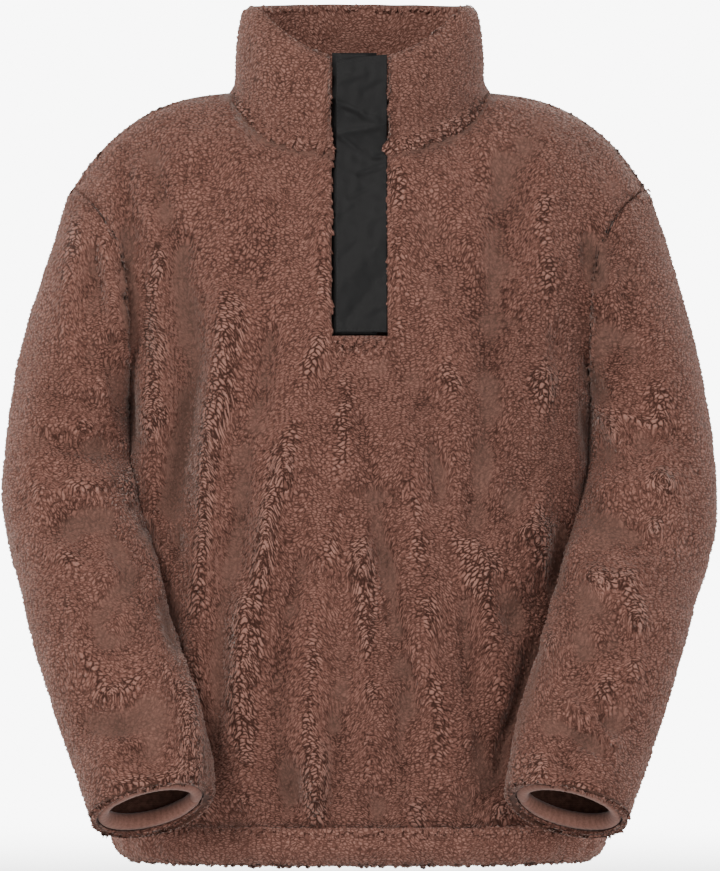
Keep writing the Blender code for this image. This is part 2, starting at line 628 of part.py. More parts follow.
def build():
    clear_scene()
    fleece = make_material("pile fleece", FLEECE_COLOUR, 0.95)
    collar_fleece = make_material("collar pile fleece", COLLAR_COLOUR, 0.95)
    binding = make_material("elastic binding", BINDING_COLOUR, 0.75)
    woven = make_material("black woven", WOVEN_COLOUR, 0.55)
    make_panel("front", True, fleece)
    make_panel("back", False, fleece)
    for side, hand in ((1, "left"), (-1, "right")):
        make_sleeve("sleeve_" + hand, side, fleece)
        make_cuff_binding("cuff_binding_" + hand, side, binding)
    make_collar(collar_fleece)
    make_hem_band(fleece)
    make_placket_strip("placket_flap", FLAP, FLAP_RECESS, FLAP_WRINKLES, 7, 26, woven)
    make_placket_strip("placket_under", UNDER_STRIP, STRIP_RECESS, (), 4, 22, woven)


build()
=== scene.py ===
import math

import bmesh
import bpy
import numpy as np
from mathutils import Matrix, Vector
from mathutils.bvhtree import BVHTree


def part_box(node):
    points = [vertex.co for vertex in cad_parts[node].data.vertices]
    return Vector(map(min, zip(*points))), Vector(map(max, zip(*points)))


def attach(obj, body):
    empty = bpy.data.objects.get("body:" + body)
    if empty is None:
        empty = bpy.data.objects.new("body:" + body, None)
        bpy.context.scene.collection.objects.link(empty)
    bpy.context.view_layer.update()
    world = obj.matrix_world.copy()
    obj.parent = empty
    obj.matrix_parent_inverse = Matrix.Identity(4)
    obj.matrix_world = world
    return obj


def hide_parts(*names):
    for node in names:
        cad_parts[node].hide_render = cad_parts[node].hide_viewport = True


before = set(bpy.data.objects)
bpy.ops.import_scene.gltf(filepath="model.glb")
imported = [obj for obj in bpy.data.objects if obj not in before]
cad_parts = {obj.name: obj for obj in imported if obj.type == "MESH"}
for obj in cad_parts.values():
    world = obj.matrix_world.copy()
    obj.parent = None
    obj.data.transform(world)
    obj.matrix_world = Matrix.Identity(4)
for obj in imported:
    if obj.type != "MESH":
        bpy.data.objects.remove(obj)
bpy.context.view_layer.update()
print("loaded", len(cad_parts), "solids")


# Shader maths as plain expressions
class Wire:
    def __init__(self, finish, socket):
        self.finish = finish
        self.socket = socket

    def sum(self, operation, first, second):
        return self.finish.node("ShaderNodeMath", {"operation": operation}, {0: first, 1: second})

    def __add__(self, other):
        return self.sum("ADD", self, other)

    def __radd__(self, other):
        return self.sum("ADD", other, self)

    def __sub__(self, other):
        return self.sum("SUBTRACT", self, other)

    def __rsub__(self, other):
        return self.sum("SUBTRACT", other, self)

    def __mul__(self, other):
        return self.sum("MULTIPLY", self, other)

    def __rmul__(self, other):
        return self.sum("MULTIPLY", other, self)


class Finish:
    def __init__(self, name, **fixed):
        self.material = bpy.data.materials.new(name)
        self.material.use_nodes = True
        self.tree = self.material.node_tree
        self.shader = self.tree.nodes["Principled BSDF"]
        for socket, value in fixed.items():
            self.shader.inputs[socket.replace("_", " ")].default_value = value

    # Any node: its type, its settings, then the values or links of its sockets
    def node(self, kind, settings=None, inputs=None, output=0):
        made = self.tree.nodes.new(kind)
        for key, value in (settings or {}).items():
            if key == "stops":
                ramp = made.color_ramp
                while len(ramp.elements) < len(value):
                    ramp.elements.new(0.5)
                for element, (place, colour) in zip(ramp.elements, value):
                    element.position = place
                    element.color = (*colour, 1.0)
            else:
                setattr(made, key, value)
        for key, value in (inputs or {}).items():
            self.feed(made.inputs[key], value)
        return Wire(self, made.outputs[output])

    def feed(self, socket, value):
        if isinstance(value, Wire):
            self.tree.links.new(value.socket, socket)
        else:
            socket.default_value = value

    def place(self):
        return self.node("ShaderNodeTexCoord", output="Object")

    def attribute(self, name):
        return self.node("ShaderNodeAttribute", {"attribute_name": name}, output="Fac")

    def noise(self, scale, detail=2.0, place=None):
        return self.node("ShaderNodeTexNoise", None,
                         {"Vector": place or self.place(), "Scale": scale, "Detail": detail})

    def ramp(self, value, *stops):
        return self.node("ShaderNodeValToRGB", {"stops": stops}, {"Fac": value})

    def mix(self, factor, first, second):
        return self.node("ShaderNodeMix", {"data_type": "RGBA"}, {0: factor, 6: first, 7: second}, output=2)

    def sine(self, value):
        return self.node("ShaderNodeMath", {"operation": "SINE"}, {0: value})

    def part(self, axis):  # 0, 1 or 2 for the place's x, y or z
        return self.node("ShaderNodeSeparateXYZ", None, {0: self.place()}, output=axis)

    def spread(self, value, low, high):  # a grey that runs from low to high as the value runs from 0.3 to 0.7
        return self.node("ShaderNodeMapRange", None,
                         {"Value": value, "From Min": 0.3, "From Max": 0.7, "To Min": low, "To Max": high})

    def bump(self, height, strength, distance):
        return self.node("ShaderNodeBump", None,
                         {"Height": height, "Strength": strength, "Distance": distance})

    def use(self, **parts):
        for socket, value in parts.items():
            self.feed(self.shader.inputs[socket.replace("_", " ")], value)
        return self.material


# Colours of the pile from its dark roots to its worn tips, linear; the darker end is also where painted shade
# sits, in cracks, at roots and in troughs
pileTones = {
    "body": ((0.056, 0.021, 0.014), (0.240, 0.105, 0.078), (0.420, 0.212, 0.164)),
    "collar": ((0.055, 0.021, 0.014), (0.236, 0.105, 0.078), (0.420, 0.216, 0.169)),
}

# The pattern of the pile: sizes in metres, patches by their noise, and what lightens or darkens a nub
nubs = {
    "coarse": 0.0030, "fine": 0.0020, "stretch": 0.53,  # their heights, and the squash of their widths
    "drift": 0.068, "driftScale": 19, "lean": 0.0034, "wiggle": 0.0024, "wiggleScale": 120.0,
    "uneven": 0.9, "fineCrack": (0.0, 0.30), "coarseCrack": (0.01, 0.27),
    "worn": {"scale": 23, "byFold": -0.13, "span": (0.52, 0.90)},
    "brushed": {"scale": 31, "byFold": 0.10, "span": (0.60, 0.90)},
    "contrast": 0.60, "wornContrast": 0.42, "brushedContrast": 0.55, "midMound": 0.62,
    # troughShade is painted shade in fold troughs; alongShade carries painted light and shade along each lock
    "troughShade": -0.054, "wornShade": 0.07, "alongShade": 0.26, "lightness": 0.02,
    "mottle": ((420, 0.34), (60, 0.24)), "fibres": (1300, 0.16), "tones": (0.02, 0.52, 1.0),
    # Painted sheen: brushed patches are tinted towards this grey
    "grey": (0.235, 0.135, 0.105, 1.0), "paintedSheenShare": 0.30,
    "relief": 0.0010, "bump": 0.70, "fibreRelief": 0.20, "grain": (520, 0.25),
}


# The pile: nubs parted by dark cracks of painted shade that fan off the folds, coarse on ridges and brushed
# smooth in troughs, where painted shade darkens them and painted sheen greys them
def pileFinish(name, tones):
    finish = Finish(name, Roughness=0.88, Specular_IOR_Level=0.22, Sheen_Weight=0.40,
                    Sheen_Roughness=0.40, Sheen_Tint=(0.95, 0.82, 0.74, 1.0))

    def vectors(operation, first, second, **more):
        return finish.node("ShaderNodeVectorMath", {"operation": operation}, {0: first, 1: second, **more})

    def smooth(value, span):
        return finish.node("ShaderNodeMapRange", {"interpolation_type": "SMOOTHSTEP"},
                           {"Value": value, "From Min": span[0], "From Max": span[1]})

    def patches(kind):
        return smooth(finish.noise(kind["scale"], 3) + fold * kind["byFold"], kind["span"])

    fold = finish.attribute("fold")
    along = finish.attribute("along")
    wiggle = finish.node("ShaderNodeTexNoise", None,
                         {"Vector": finish.place(), "Scale": nubs["wiggleScale"], "Detail": 1.0}, output=1)
    wiggle = vectors("SCALE", vectors("SUBTRACT", wiggle, (0.5, 0.5, 0.5)), (0, 0, 0), Scale=nubs["wiggle"])
    place = vectors("MULTIPLY", vectors("ADD", finish.place(), wiggle), (nubs["stretch"], nubs["stretch"], 1))
    drift = finish.noise(nubs["driftScale"], 1, vectors("MULTIPLY", finish.place(), (1, 1, 0.45)))
    slide = (drift - 0.5) * nubs["drift"] + fold * nubs["lean"]
    place = vectors("ADD", place, finish.node("ShaderNodeCombineXYZ", None, {2: slide}))
    coarse, fine = (finish.node("ShaderNodeTexVoronoi", {"feature": "DISTANCE_TO_EDGE"},
                                {"Vector": place, "Scale": 1 / nubs[size], "Randomness": nubs["uneven"]})
                    for size in ("coarse", "fine"))
    worn = patches(nubs["worn"])
    brushed = patches(nubs["brushed"])
    # Painted shade: the cracks between the nubs are coloured dark as well as sunk by the bump
    mounds = finish.mix(worn, smooth(fine, nubs["fineCrack"]), smooth(coarse, nubs["coarseCrack"]))
    contrast = (nubs["contrast"] + worn * nubs["wornContrast"]) * (1 - brushed * nubs["brushedContrast"])
    fibres = finish.noise(nubs["fibres"][0], 3)
    # Painted shade: the pile is darkened in the troughs of the folds
    trough = finish.node("ShaderNodeMath", {"operation": "MAXIMUM"}, {0: fold, 1: 0.0})
    shade = trough * nubs["troughShade"] + worn * nubs["wornShade"]
    for scale, weight in nubs["mottle"]:
        shade = shade + finish.noise(scale, 2) * weight
    # along carries painted light and shade into the colour
    shade = shade + fibres * nubs["fibres"][1] + along * nubs["alongShade"]
    light = (mounds - nubs["midMound"]) * contrast + shade + nubs["lightness"]
    colour = finish.ramp(light, *zip(nubs["tones"], tones))
    # Painted sheen: brushed patches, mostly in the troughs, are tinted grey
    colour = finish.mix(brushed * nubs["paintedSheenShare"], colour, nubs["grey"])
    grain, weight = nubs["grain"]
    height = mounds * contrast + fibres * nubs["fibreRelief"] + finish.noise(grain, 2) * weight
    return finish.use(Base_Color=colour, Normal=finish.bump(height, nubs["bump"], nubs["relief"]))


# The knitted back of the fleece, seen down the neck, the cuffs and the hem
knit = {"courses": 3600, "wales": 4200, "fuzz": 260, "relief": 0.0005}


def backingFinish():
    finish = Finish("knit backing", Roughness=0.95, Specular_IOR_Level=0.15, Sheen_Weight=0.15)
    courses = finish.sine(finish.part(2) * knit["courses"])
    wales = finish.sine(finish.part(0) * knit["wales"])
    fuzz = finish.noise(knit["fuzz"], 3)
    colour = finish.ramp(fuzz + courses * 0.05, (0.30, (0.060, 0.026, 0.018)), (0.72, (0.135, 0.062, 0.045)))
    height = courses * wales * 0.5 + fuzz
    return finish.use(Base_Color=colour, Normal=finish.bump(height, 0.5, knit["relief"]))


weaving = {"threads": 9000, "lint": 160, "crinkles": 75, "crinkleHeight": 2.2, "relief": 0.0014}


def wovenFinish():
    finish = Finish("black woven", Roughness=0.6, Specular_IOR_Level=0.30, Sheen_Weight=0.03)
    warp, weft = (finish.sine(finish.part(axis) * weaving["threads"]) for axis in (0, 2))
    weave = warp * weft
    lint = finish.noise(weaving["lint"], 4)
    colour = finish.ramp(lint + weave * 0.06, (0.25, (0.005, 0.0046, 0.0046)),
                         (0.60, (0.0080, 0.0074, 0.0074)), (0.85, (0.0155, 0.0145, 0.0145)))
    crinkle = finish.noise(weaving["crinkles"], 3) * weaving["crinkleHeight"]
    return finish.use(Base_Color=colour, Roughness=finish.spread(lint, 0.42, 0.58),
                      Normal=finish.bump(weave * 0.12 + crinkle, 0.35, weaving["relief"]))


def bindingFinish():
    finish = Finish("elastic binding", Roughness=0.8, Specular_IOR_Level=0.25, Sheen_Weight=0.25)
    ribs = finish.sine(finish.attribute("around") * 900)
    grain = finish.noise(700, 3)
    patches = finish.noise(60, 2)
    colour = finish.ramp(grain * 0.6 + patches * 0.4 + ribs * 0.05, (0.30, (0.190, 0.084, 0.061)),
                         (0.52, (0.285, 0.134, 0.100)), (0.75, (0.370, 0.185, 0.142)))
    return finish.use(Base_Color=colour, Normal=finish.bump(ribs * 0.12 + grain, 0.35, 0.0004))


def threadFinish(name, colour):
    finish = Finish(name, Roughness=0.7, Specular_IOR_Level=0.3)
    shade = tuple(part * 1.7 for part in colour)
    return finish.use(Base_Color=finish.ramp(finish.noise(900, 2), (0.3, colour), (0.7, shade)))


finishes = {
    "bodyPile": pileFinish("body pile", pileTones["body"]),
    "collarPile": pileFinish("collar pile", pileTones["collar"]),
    "backing": backingFinish(),
    "woven": wovenFinish(),
    "binding": bindingFinish(),
    "thread": threadFinish("black thread", (0.020, 0.019, 0.019)),
}
print("finishes", len(finishes))


def unit(vectors):
    return vectors / np.maximum(np.linalg.norm(vectors, axis=1, keepdims=True), 1e-9)


def ease(values):
    values = np.clip(values, 0.0, 1.0)
    return values * values * (3 - 2 * values)


# A smooth wandering value from about -1 to 1, the same on every run
def wander(points, size, seed):
    random = np.random.default_rng(seed)
    total = np.zeros(len(points))
    for turn in range(9):
        heading = unit(random.normal(size=(1, 3)))[0] * 2 * math.pi / (size * random.uniform(0.7, 1.6))
        total += np.sin(points @ heading + random.uniform(0, 2 * math.pi))
    return total / 3.2


# Soft troughs (plus) and ridges (minus), each a line in the front view with its half width and depth in mm
def foldDepth(folds, points):
    total = np.zeros(len(points))
    flat = points[:, [0, 2]] * 1000
    for x0, z0, x1, z1, width, depth in folds:
        start = np.array((x0, z0))
        line = np.array((x1, z1)) - start
        share = np.clip((flat - start) @ line / (line @ line), 0, 1)
        away = np.linalg.norm(flat - start - share[:, None] * line, axis=1) / width
        total += depth / 1000 * np.exp(-away * away) * (0.55 + 0.45 * np.sin(math.pi * (0.15 + 0.7 * share)))
    return total


# The same for long bands, each a line through several points
def bandDepth(bands, points):
    total = np.zeros(len(points))
    flat = points[:, [0, 2]] * 1000
    for line, width, depth in bands:
        nearest = np.full(len(points), 1e9)
        for start, end in zip(np.array(line), np.array(line[1:])):
            run = end - start
            share = np.clip((flat - start) @ run / (run @ run), 0, 1)
            nearest = np.minimum(nearest, ((flat - start - share[:, None] * run) ** 2).sum(axis=1))
        total += depth / 1000 * np.exp(-nearest / width ** 2)
    return total


# The middle line of the left sleeve, from the shoulder to the cuff
armLine = np.array((
    (0.2140, 0.000, -0.1665), (0.2333, -0.006, -0.2250), (0.2414, -0.022, -0.2975),
    (0.2398, -0.040, -0.3355), (0.2305, -0.065, -0.3770), (0.2173, -0.092, -0.4210),
    (0.2008, -0.118, -0.4750), (0.1845, -0.138, -0.5250),
    (0.1685, -0.158, -0.5835),
))


def bodyOutward(points):
    middle = points * (0.55, 0.0, 1.0)
    middle[:, 2] = np.minimum(middle[:, 2], -0.12)
    return unit(points - middle)


def armOutward(points):
    side = np.where(points[:, :1] < 0, -1.0, 1.0)
    flipped = points * np.hstack((side, np.ones((len(points), 2))))
    best = np.full(len(points), 9.0)
    out = np.zeros_like(points)
    for start, end in zip(armLine, armLine[1:]):
        line = end - start
        share = np.clip((flipped - start) @ line / (line @ line), 0, 1)
        away = flipped - start - share[:, None] * line
        far = np.linalg.norm(away, axis=1)
        nearer = far < best
        best[nearer] = far[nearer]
        out[nearer] = away[nearer]
    return unit(out * np.hstack((side, np.ones((len(points), 2)))))


def meshArrays(mesh):
    points = np.empty(len(mesh.vertices) * 3, np.float32)
    normals = np.empty(len(mesh.vertices) * 3, np.float32)
    mesh.vertices.foreach_get("co", points)
    mesh.vertices.foreach_get("normal", normals)
    return points.reshape(-1, 3).astype(float), normals.reshape(-1, 3).astype(float)


# A finer copy of a solid's form, its rims kept crisp
def softCopy(name, node, levels):
    bm = bmesh.new()
    bm.from_mesh(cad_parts[node].data)
    bmesh.ops.remove_doubles(bm, verts=bm.verts, dist=2e-5)
    bmesh.ops.join_triangles(bm, faces=bm.faces, angle_face_threshold=math.radians(50),
                             angle_shape_threshold=math.radians(70))
    crease = bm.edges.layers.float.new("crease_edge")
    for edge in bm.edges:
        if len(edge.link_faces) == 2 and edge.calc_face_angle(0) > math.radians(48):
            edge[crease] = 1.0
    coarse = bpy.data.meshes.new(name + " coarse")
    bm.to_mesh(coarse)
    bm.free()
    holder = bpy.data.objects.new(name + " coarse", coarse)
    bpy.context.scene.collection.objects.link(holder)
    finer = holder.modifiers.new("finer", "SUBSURF")
    finer.levels = levels
    finer.render_levels = levels
    bpy.context.view_layer.update()
    mesh = bpy.data.meshes.new_from_object(holder.evaluated_get(bpy.context.evaluated_depsgraph_get()))
    bpy.data.objects.remove(holder)
    mesh.name = name
    mesh.materials.clear()
    for layer in list(mesh.uv_layers):
        mesh.uv_layers.remove(layer)
    return mesh


def addPiece(name, mesh, node, replacing=True):
    piece = bpy.data.objects.new(name, mesh)
    bpy.context.scene.collection.objects.link(piece)
    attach(piece, "root")
    if replacing:
        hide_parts(node)
    return piece


sleeveNodes = ("sleeve_left", "sleeve_right")
cuffNodes = ("cuff_binding_left", "cuff_binding_right")
trees = {}
for node in ("front", "back", "collar", *sleeveNodes, *cuffNodes):
    solid = bmesh.new()
    solid.from_mesh(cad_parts[node].data)
    trees[node] = BVHTree.FromBMesh(solid)
    solid.free()


# Where a rim closes on its neighbour, how far it dips in, and where folds calm down beside a seam
seams = {"reach": 0.0026, "fade": 0.4, "dip": 0.0008, "calmReach": 0.016, "calmFrom": 0.002}


# How far each point is from the nearest of some solids, at most the reach
def gapTo(points, nodes, reach):
    gaps = np.full(len(points), reach)
    for node in nodes:
        for index, point in enumerate(points):
            far = trees[node].find_nearest(Vector(point), reach)[3]
            if far is not None:
                gaps[index] = min(gaps[index], far)
    return gaps


# Draws the rims that lie along a seam up to and just into the neighbouring cloth
def closeSeams(points, neighbours):
    reach = seams["reach"]
    for node in neighbours:
        for index, point in enumerate(points):
            normal, far = trees[node].find_nearest(Vector(point), reach)[1::2]
            if normal is not None:
                share = min(1.0, (reach - far) / (reach * seams["fade"]))
                points[index] -= np.array(normal) * (far + seams["dip"]) * share


# The depth of the folds and shade lines in metres, and their painted shade in mm
def foldsAt(settings, points, out):
    front = ease(0.5 - out[:, 1] / 0.5)
    depth = foldDepth(settings["frontFolds"], points) * front
    depth += foldDepth(settings["backFolds"], points) * (1 - front)
    shade = depth * 1000
    for side, part in (("front", front), ("back", 1 - front)):
        shadeLineDepth = foldDepth(settings.get(side + "Nap", ()), points)
        shadeLineDepth = (shadeLineDepth + bandDepth(settings.get(side + "Bands", ()), points)) * part
        shade += shadeLineDepth * 1000
        depth += shadeLineDepth * settings["shadeLineDent"]
    return depth, shade


# The cloth under the pile: the solid's form with finer folds, its outer face drawn in by the pile's height
def makeCloth(name, node, outward, settings, outerFinish):
    mesh = softCopy(name, node, settings["levels"])
    points, normals = meshArrays(mesh)
    out = outward(points)
    facing = np.einsum("ij,ij->i", normals, out)
    outer = ease((facing - settings["outerFrom"]) / settings["outerOver"])
    if settings.get("allSides"):
        outer = np.ones(len(points))
    inset = settings["pileHeight"] * outer * (settings["snug"](points, out) if "snug" in settings else 1.0)
    lumps = (wander(points, 0.075, 3) + wander(points, 0.030, 4) * 0.35) * settings["lumps"]
    depth, shade = foldsAt(settings, points, out)
    # Painted light: lifts the tone of the hem band and of the collar's shaded inside
    paintedLight = settings.get("paintedLight", 0) + settings.get("innerPaintedLight", 0) * (facing < 0)
    # Painted shade along seams: darkened below the collar's edge on the body; coarser nubs at the collar's
    # own edge
    if "seams" in settings:
        shade += settings["seams"](points)
    depth += lumps
    calm = settings["calm"](points) if "calm" in settings else 1.0
    if "beside" in settings:
        far = gapTo(points, settings["beside"], seams["calmReach"]) - seams["calmFrom"]
        calm = calm * ease(far / (seams["calmReach"] - seams["calmFrom"]))
    points -= normals * inset[:, None]
    points -= out * (depth * calm)[:, None]
    if "shorten" in settings:
        low, factor = settings["shorten"]
        points[:, 2] = np.where(points[:, 2] < low, low + (points[:, 2] - low) * factor, points[:, 2])
    closeSeams(points, settings.get("joins", ()))
    mesh.vertices.foreach_set("co", points.astype(np.float32).ravel())
    # fold carries the painted shade of the folds, read by the pile's finish
    mesh.attributes.new("fold", "FLOAT", "POINT").data.foreach_set("value", shade.astype(np.float32))
    # along carries painted light: a set tone, lifted on the hem and the collar's inside
    mesh.attributes.new("along", "FLOAT", "POINT").data.foreach_set("value", (0.35 + paintedLight).astype(np.float32))
    mesh.update()
    mesh.materials.append(outerFinish)
    mesh.materials.append(finishes["backing"])
    if not settings.get("allSides"):
        faceNormals = np.empty(len(mesh.polygons) * 3, np.float32)
        centres = np.empty(len(mesh.polygons) * 3, np.float32)
        mesh.polygons.foreach_get("normal", faceNormals)
        mesh.polygons.foreach_get("center", centres)
        faceOut = outward(centres.reshape(-1, 3).astype(float))
        inner = np.einsum("ij,ij->i", faceNormals.reshape(-1, 3), faceOut) < -0.2
        mesh.polygons.foreach_set("material_index", inner.astype(np.int32))
    mesh.shade_smooth()
    return addPiece(name, mesh, node)


# One lock of pile, a small grid: two faces across and two along
def lockTemplate():
    bm = bmesh.new()
    bmesh.ops.create_grid(bm, x_segments=2, y_segments=2, size=0.5)
    bm.verts.index_update()
    places = np.array([(vert.co.x * 2, vert.co.y + 0.5) for vert in bm.verts])
    faces = np.array([[vert.index for vert in face.verts] for face in bm.faces])
    bm.free()
    return places, faces


lockPlaces, lockFaces = lockTemplate()
lockShape = {
    "height": (-0.20, 0.90, -0.55),  # of the lock's height, at its root, middle and tip
    "ahead": (0.00, 0.50, 1.00),  # of its length
    "width": (0.75, 1.00, 0.70),  # of its width
    # Painted shade on each lock: darker at its root and its tip
    "light": (0.60, 1.00, 0.85),  # how far out of the shade each stands
    "crown": 0.30,  # how far its sides drop, of its width
}


# Even roots all over the cloth: their places and normals
def scatterRoots(mesh, outward, settings, random):
    mesh.calc_loop_triangles()
    points, normals = meshArrays(mesh)
    corners = np.empty(len(mesh.loop_triangles) * 3, np.int32)
    mesh.loop_triangles.foreach_get("vertices", corners)
    corners = corners.reshape(-1, 3)
    tri = points[corners]
    square = np.cross(tri[:, 1] - tri[:, 0], tri[:, 2] - tri[:, 0])
    area = np.linalg.norm(square, axis=1) / 2
    centre = tri.mean(axis=1)
    facing = np.einsum("ij,ij->i", unit(square), outward(centre))
    weight = area * settings["keep"](centre, facing, unit(square))
    total = weight.sum()
    count = int(total / settings["spacing"] ** 2 * 2.2)
    pick = np.searchsorted(np.cumsum(weight) / total, (np.arange(count) + random.random(count)) / count)
    pick = np.minimum(pick, len(corners) - 1)
    share = random.random((count, 2))
    over = share.sum(axis=1) > 1
    share[over] = 1 - share[over]
    weights = np.column_stack((1 - share.sum(axis=1), share))
    root = np.einsum("ij,ijk->ik", weights, tri[pick])
    normal = unit(np.einsum("ij,ijk->ik", weights, normals[corners[pick]]))

    # One lock in each small cell keeps them even
    cells = np.floor(root / (settings["spacing"] * 0.93)).astype(np.int64)
    keep = np.unique(cells, axis=0, return_index=True)[1]
    keep = keep[np.argsort(random.random(len(keep)))][:settings["most"]]
    return root[keep], normal[keep]


# Locks lie down the cloth, and turn together in drifts
def lockHeadings(root, normal, outward, settings, random):
    count = len(root)
    down = np.tile((0.0, 0.0, -1.0), (count, 1)) + outward(root) * 0.05
    ahead = unit(down - normal * np.einsum("ij,ij->i", down, normal)[:, None])
    across = np.cross(normal, ahead)
    turn = wander(root, 0.020, 11) * 0.50 + wander(root, 0.055, 12) * 0.45 + random.normal(size=count) * 0.35
    turn *= settings["turn"]
    if "steady" in settings:
        turn *= settings["steady"](root)
    along, aside = np.cos(turn)[:, None], np.sin(turn)[:, None]
    return ahead * along + across * aside, across * along - ahead * aside


# The way from each root to the middle of its clump, along the cloth
def towardsClump(root, normal, size):
    clump = np.floor(root / size)
    mixed = np.sin(clump @ (127.1, 311.7, 74.7)) * 43758.5453  # a hash of the clump's cell
    jitter = np.column_stack([np.modf(np.abs(mixed * factor))[0] for factor in (1.0, 1.7, 2.9)])
    towards = (clump + 0.2 + 0.6 * jitter) * size - root
    return towards - normal * np.einsum("ij,ij->i", towards, normal)[:, None]


# Points of all the locks, one row for each lock
def lockPoints(root, normal, outward, settings, random):
    count = len(root)
    ahead, across = lockHeadings(root, normal, outward, settings, random)
    towards = towardsClump(root, normal, settings["clump"])
    length = settings["length"] * random.uniform(0.75, 1.25, count)
    width = settings["width"] * random.uniform(0.75, 1.25, count)
    height = settings["height"] * random.uniform(0.75, 1.15, count) * (1 + 0.18 * wander(root, 0.012, 13))
    if "longer" in settings:
        length *= settings["longer"](root)
    bend = random.normal(size=count) * 0.25
    side = lockPlaces[:, 0]
    rise, forward, wide = (lockProfile(part) for part in ("height", "ahead", "width"))
    reach = forward[None, :] * length[:, None]
    lift = rise[None, :] * height[:, None]
    lift -= (side * side)[None, :] * lockShape["crown"] * width[:, None] * wide
    shift = side[None, :] * wide * width[:, None] / 2
    shift += bend[:, None] * (forward ** 2)[None, :] * length[:, None]
    verts = root[:, None, :] + ahead[:, None, :] * reach[:, :, None]
    verts += normal[:, None, :] * lift[:, :, None]
    verts += across[:, None, :] * shift[:, :, None]
    verts += towards[:, None, :] * (forward * settings["gather"])[None, :, None]
    return verts


def lockProfile(part):
    return np.array(lockShape[part])[np.rint(lockPlaces[:, 1] * 2).astype(int)]


# Each lock has its own cell of the flat map
def flattenLocks(pile, count, faces):
    grid = math.ceil(math.sqrt(count))
    cell = np.column_stack((np.arange(count) % grid, np.arange(count) // grid))
    across = 0.5 + 0.38 * lockPlaces[:, 0] * (0.45 + 0.55 * lockProfile("width"))
    local = np.column_stack((across, 0.10 + 0.80 * lockPlaces[:, 1]))
    flat = ((cell[:, None, :] + local[None, :, :]) / grid).reshape(-1, 2)
    layer = pile.uv_layers.new(name="OFBake")
    layer.data.foreach_set("uv", flat[faces.ravel()].astype(np.float32).ravel())


def growPile(name, cloth, outward, settings, finish, node):
    random = np.random.default_rng(settings["seed"])
    root, normal = scatterRoots(cloth.data, outward, settings, random)
    verts = lockPoints(root, normal, outward, settings, random)
    count = len(root)
    each = len(lockPlaces)
    faces = (lockFaces[None, :, :] + (np.arange(count) * each)[:, None, None]).reshape(-1, 4)
    pile = bpy.data.meshes.new(name)
    pile.vertices.add(count * each)
    pile.vertices.foreach_set("co", verts.astype(np.float32).ravel())
    pile.loops.add(faces.size)
    pile.loops.foreach_set("vertex_index", faces.astype(np.int32).ravel())
    pile.polygons.add(len(faces))
    pile.polygons.foreach_set("loop_start", (np.arange(len(faces)) * 4).astype(np.int32))
    pile.update(calc_edges=True)
    # Painted shade: each lock is darker at its root, its tip and its sides; painted light is added on the hem
    # and the collar's inside
    along = np.tile(lockProfile("light") - lockPlaces[:, 0] ** 2 * 0.14, (count, 1))
    spread = verts.reshape(-1, 3)
    shade = foldsAt(settings, spread, outward(spread))[1]
    # Painted shade along seams, the same as on the cloth beneath
    if "seams" in settings:
        shade += np.repeat(settings["seams"](root), each)
    inner = np.einsum("ij,ij->i", normal, outward(root)) < 0
    along += (settings.get("paintedLight", 0) + settings.get("innerPaintedLight", 0) * inner)[:, None]
    for label, values in (("along", along.ravel()), ("fold", shade)):
        layer = pile.attributes.new(label, "FLOAT", "POINT")
        layer.data.foreach_set("value", values.astype(np.float32))
    flattenLocks(pile, count, faces)
    pile.materials.append(finish)
    pile.shade_smooth()
    print(name, count, "locks,", count * len(lockFaces) * 2, "triangles")
    return addPiece(name, pile, node)


def outside(centre, facing, normal):
    return (facing > 0.12).astype(float)


# Settings shared by every panel of the fleece
fleece = {
    "levels": 2, "pileHeight": 0.0017, "lumps": 0.0011,
    "spacing": 0.0037, "length": 0.0054, "width": 0.0040, "height": 0.0014, "turn": 0.6,
    "clump": 0.0070, "gather": 0.20, "keep": outside, "most": 19500, "shadeLineDent": 0.85,
    "outerFrom": 0.62, "outerOver": 0.3,  # how squarely the outer face looks out
}


# Calm beside the placket and at the panel's rims, so that neighbours stay clear
def bodyCalm(points):
    beside = ease((np.abs(points[:, 0]) - 0.024) / 0.02)
    low = ease((points[:, 2] + 0.600) / 0.02)
    high = ease((-0.012 - points[:, 2]) / 0.04)
    return np.maximum(beside, ease((-0.23 - points[:, 2]) / 0.03)) * low * high


def besidePlacket(points):
    return np.clip((np.abs(points[:, 0]) - 0.022) / 0.02, 0.25, 1.0)
